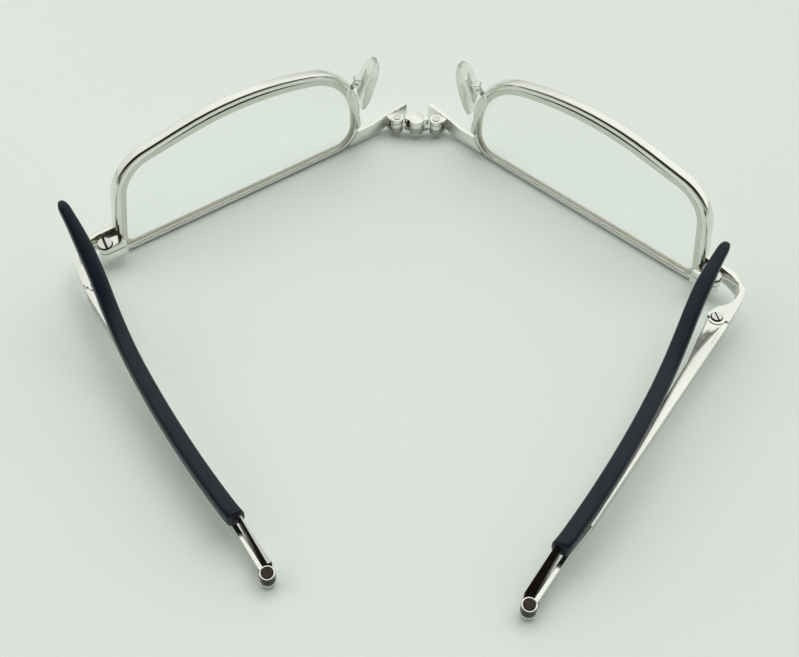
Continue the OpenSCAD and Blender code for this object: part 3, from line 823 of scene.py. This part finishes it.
def make_hinge_front(side):
    place = bar_frame(side)
    web = [(0.5, BAR_STOP - 0.1), (1.2, BAR_STOP - 0.1), (1.25, FRONT_LEN), (0.5, FRONT_LEN)]
    shapes = [extrude(STRIP, 0, BAR_H)]
    for low, high in (LEVELS[0], LEVELS[2]):
        shapes += [disc(MID_SHIFT, FRONT_LEN, BARREL_R, low, high), extrude(web, low, high)]
    points, faces = join_shapes(*shapes)
    piece = mesh_piece("bar_end_" + side, [place @ Vector(p) for p in points], faces)
    soften(piece, 0.08, 2)
    finish_piece(piece, silver, "temple_" + side, "frame_silver")
    # painted shade on the barrels and webs above the lowest barrel, except the top face
    repaint(piece, painted_shade_metal, place, lambda middle: middle.y > BAR_STOP - 0.05
            and 1 < middle.z < BAR_H - 0.05)
    points, faces = join_shapes(disc(MID_SHIFT, FRONT_LEN, PIN_R, PIN_FOOT, BAR_H),
                                disc(MID_SHIFT, FRONT_LEN, HEAD_R, BAR_H, BAR_H + HEAD_H))
    pin = mesh_piece("hinge_pin_turned_" + side, [place @ Vector(p) for p in points], faces)
    soften(pin, 0.05, 2)
    # the pin is painted shade all over
    finish_piece(pin, painted_shade_metal, "temple_" + side, "screw_steel", "mid_hinge_pin_" + side)
    return piece


def blade_ring(s, side):
    u = (s - BLADE_FROM) / (BLADE_TO - BLADE_FROM)
    up, h, corner = BAR_H / 2 + BLADE_CLIMB * u, BLADE_HALF_H - BLADE_THINS * u, BLADE_CORNER
    left = -GAP_FILLED * math.tan(math.radians(GAP[side])) * s
    right = BLADE_SIDE - BLADE_NARROWS * u
    crest = left + (right - left) * 0.5
    around = [(right, h - corner), (right - corner, h), (crest, h), (left + corner, h),
              (left, h - corner), (left, corner - h), (left + corner, -h),
              (right - corner, -h), (right, corner - h)]
    return [Vector((x, s, up + z)) for x, z in around]


def make_hinge_rear(side):
    place = rear_frame(side)
    stations = [BLADE_FROM + (BLADE_TO - BLADE_FROM) * k / 14 for k in range(15)]
    web = [(0, 0), (1.2, 0), (1.2, 1.6), (0.4, 1.6)]
    points, faces = join_shapes(skin([blade_ring(s, side) for s in stations]),
                                disc(0, 0, BARREL_R, *LEVELS[1]), extrude(web, *LEVELS[1]))
    piece = mesh_piece("blade_" + side, [place @ Vector(p) for p in points], faces)
    sharpen(piece)
    finish_piece(piece, silver, "rear_" + side, "frame_silver", "temple_rear_" + side)
    # painted shade on the middle barrel and on the blade's side beside the bar
    repaint(piece, painted_shade_metal, place,
            lambda middle: middle.y < BARREL_TO
            or middle.x < SHADE_TO[side] - SHADE_SLOPE * middle.y)
    # painted highlight on the blade's other edge
    repaint(piece, painted_highlight_silver, place,
            lambda middle: middle.y >= BARREL_TO
            and middle.x >= SHADE_TO[side] - SHADE_SLOPE * middle.y)
    return piece


for side in SIDES:
    print(make_hinge_front(side).name, make_hinge_rear(side).name, "made")

# %% [markdown]
# ## Nose pads and their arms
# A pad is an oval of clear soft plastic, slightly bowed. Its metal plate shows through.
# The arm is a thin wire that rises from the rim's nasal side, bends round behind the pad
# and ends in a small box that holds the plate's lug.

# %% Pad frame
PAD_CENTRE, PAD_TURN, PAD_LEAN = (13.1, 2, 18.3), -28, (-9.4, -14.4)
PAD_L, PAD_W, PAD_T, PAD_BOW = 11.6, 6.0, 2.0, 0.45
ARM_PATH = [(12.2, -2.65, 4.6), (12.35, -2, 5.8), (12.8, -1.7, 8.2), (13.7, -1.5, 11),
            (14.6, -1.2, 13.6), (15, -0.6, 15.8), (15.1, 0.3, 17.4)]
WIRE_R = 0.48
PAD_TWIST = 10
PAD_END, PAD_FULLNESS = 0.99, 2.6
BOX_FROM, BOX_TO, BOX_HALF_W, BOX_HALF_L, BOX_CHEEK = 1.45, 2.3, 0.7, 0.75, 0.3


def pad_frame(side):
    lean = turn(PAD_LEAN[1], "Y") @ turn(PAD_LEAN[0], "X")
    return half_frame(side) @ shift(*PAD_CENTRE) @ turn(PAD_TURN) @ lean


# %% Nose pads
def make_pad(side):
    place = pad_frame(side) @ turn(PAD_TWIST)
    around, layers = 36, 32
    rings = []
    for j in range(layers + 1):
        u = PAD_END * math.sin(math.pi * (j / layers - 0.5))
        full = math.sqrt(1 - abs(u) ** PAD_FULLNESS)
        ring = []
        for k in range(around):
            t = 2 * math.pi * k / around
            thick = PAD_BOW * (1 / 3 - u * u) + PAD_T / 2 * full * math.sin(t)
            ring.append(place @ Vector((thick, PAD_W / 2 * full * math.cos(t), PAD_L / 2 * u)))
        rings.append(ring)
    pad = mesh_piece("pad_moulded_" + side, *skin(rings))
    sharpen(pad, 60)
    return finish_piece(pad, pad_clear, "pad_" + side, "pad_clear", "nose_pad_" + side)


# %% Pad arms
def smooth_path(points, steps=8):
    """A curve through all the points, each stretch shaped by its neighbours."""
    pts = [Vector(p) for p in points]
    pts = [2 * pts[0] - pts[1]] + pts + [2 * pts[-1] - pts[-2]]
    curve = []
    for a, b, c, d in zip(pts, pts[1:], pts[2:], pts[3:]):
        for k in range(steps):
            t = k / steps
            curve.append(0.5 * (2 * b + (c - a) * t + (2 * a - 5 * b + 4 * c - d) * t * t
                                + (3 * b - a - 3 * c + d) * t ** 3))
    return curve + [pts[-2]]


def wire_rings(path, radius, sides=16):
    rings = []
    across = Vector((0, 1, 0.01))
    for i, p in enumerate(path):
        along = (path[min(i + 1, len(path) - 1)] - path[max(i - 1, 0)]).normalized()
        across = (across - along * across.dot(along)).normalized()
        other = along.cross(across)
        rings.append([p + radius * (across * math.cos(2 * math.pi * k / sides)
                                    + other * math.sin(2 * math.pi * k / sides))
                      for k in range(sides)])
    return rings


def cuboid(low, high):
    corners = [(x, y, z) for x in (low[0], high[0]) for y in (low[1], high[1])
               for z in (low[2], high[2])]
    return corners, [(0, 1, 3, 2), (4, 6, 7, 5), (0, 4, 5, 1), (2, 3, 7, 6), (0, 2, 6, 4),
                     (1, 5, 7, 3)]


def make_pad_arm(side):
    place, box_place = half_frame(side), pad_frame(side)
    points, faces = skin([[place @ p for p in ring]
                          for ring in wire_rings(smooth_path(ARM_PATH), WIRE_R)])
    slot = BOX_HALF_W - BOX_CHEEK
    for low, high in (((BOX_FROM, -BOX_HALF_W, -BOX_HALF_L), (BOX_TO, -slot, BOX_HALF_L)),
                      ((BOX_FROM, slot, -BOX_HALF_L), (BOX_TO, BOX_HALF_W, BOX_HALF_L)),
                      ((BOX_TO - BOX_CHEEK, -slot, -BOX_HALF_L), (BOX_TO, slot, BOX_HALF_L))):
        corners, sides = cuboid(low, high)
        faces += [tuple(len(points) + k for k in face) for face in sides]
        points += [box_place @ Vector(c) for c in corners]
    arm = mesh_piece("pad_wire_" + side, points, faces)
    sharpen(arm, 60)
    return finish_piece(arm, silver, "front_" + side, "frame_silver", "pad_arm_" + side)


for side in SIDES:
    print(make_pad(side).name, make_pad_arm(side).name, "made")
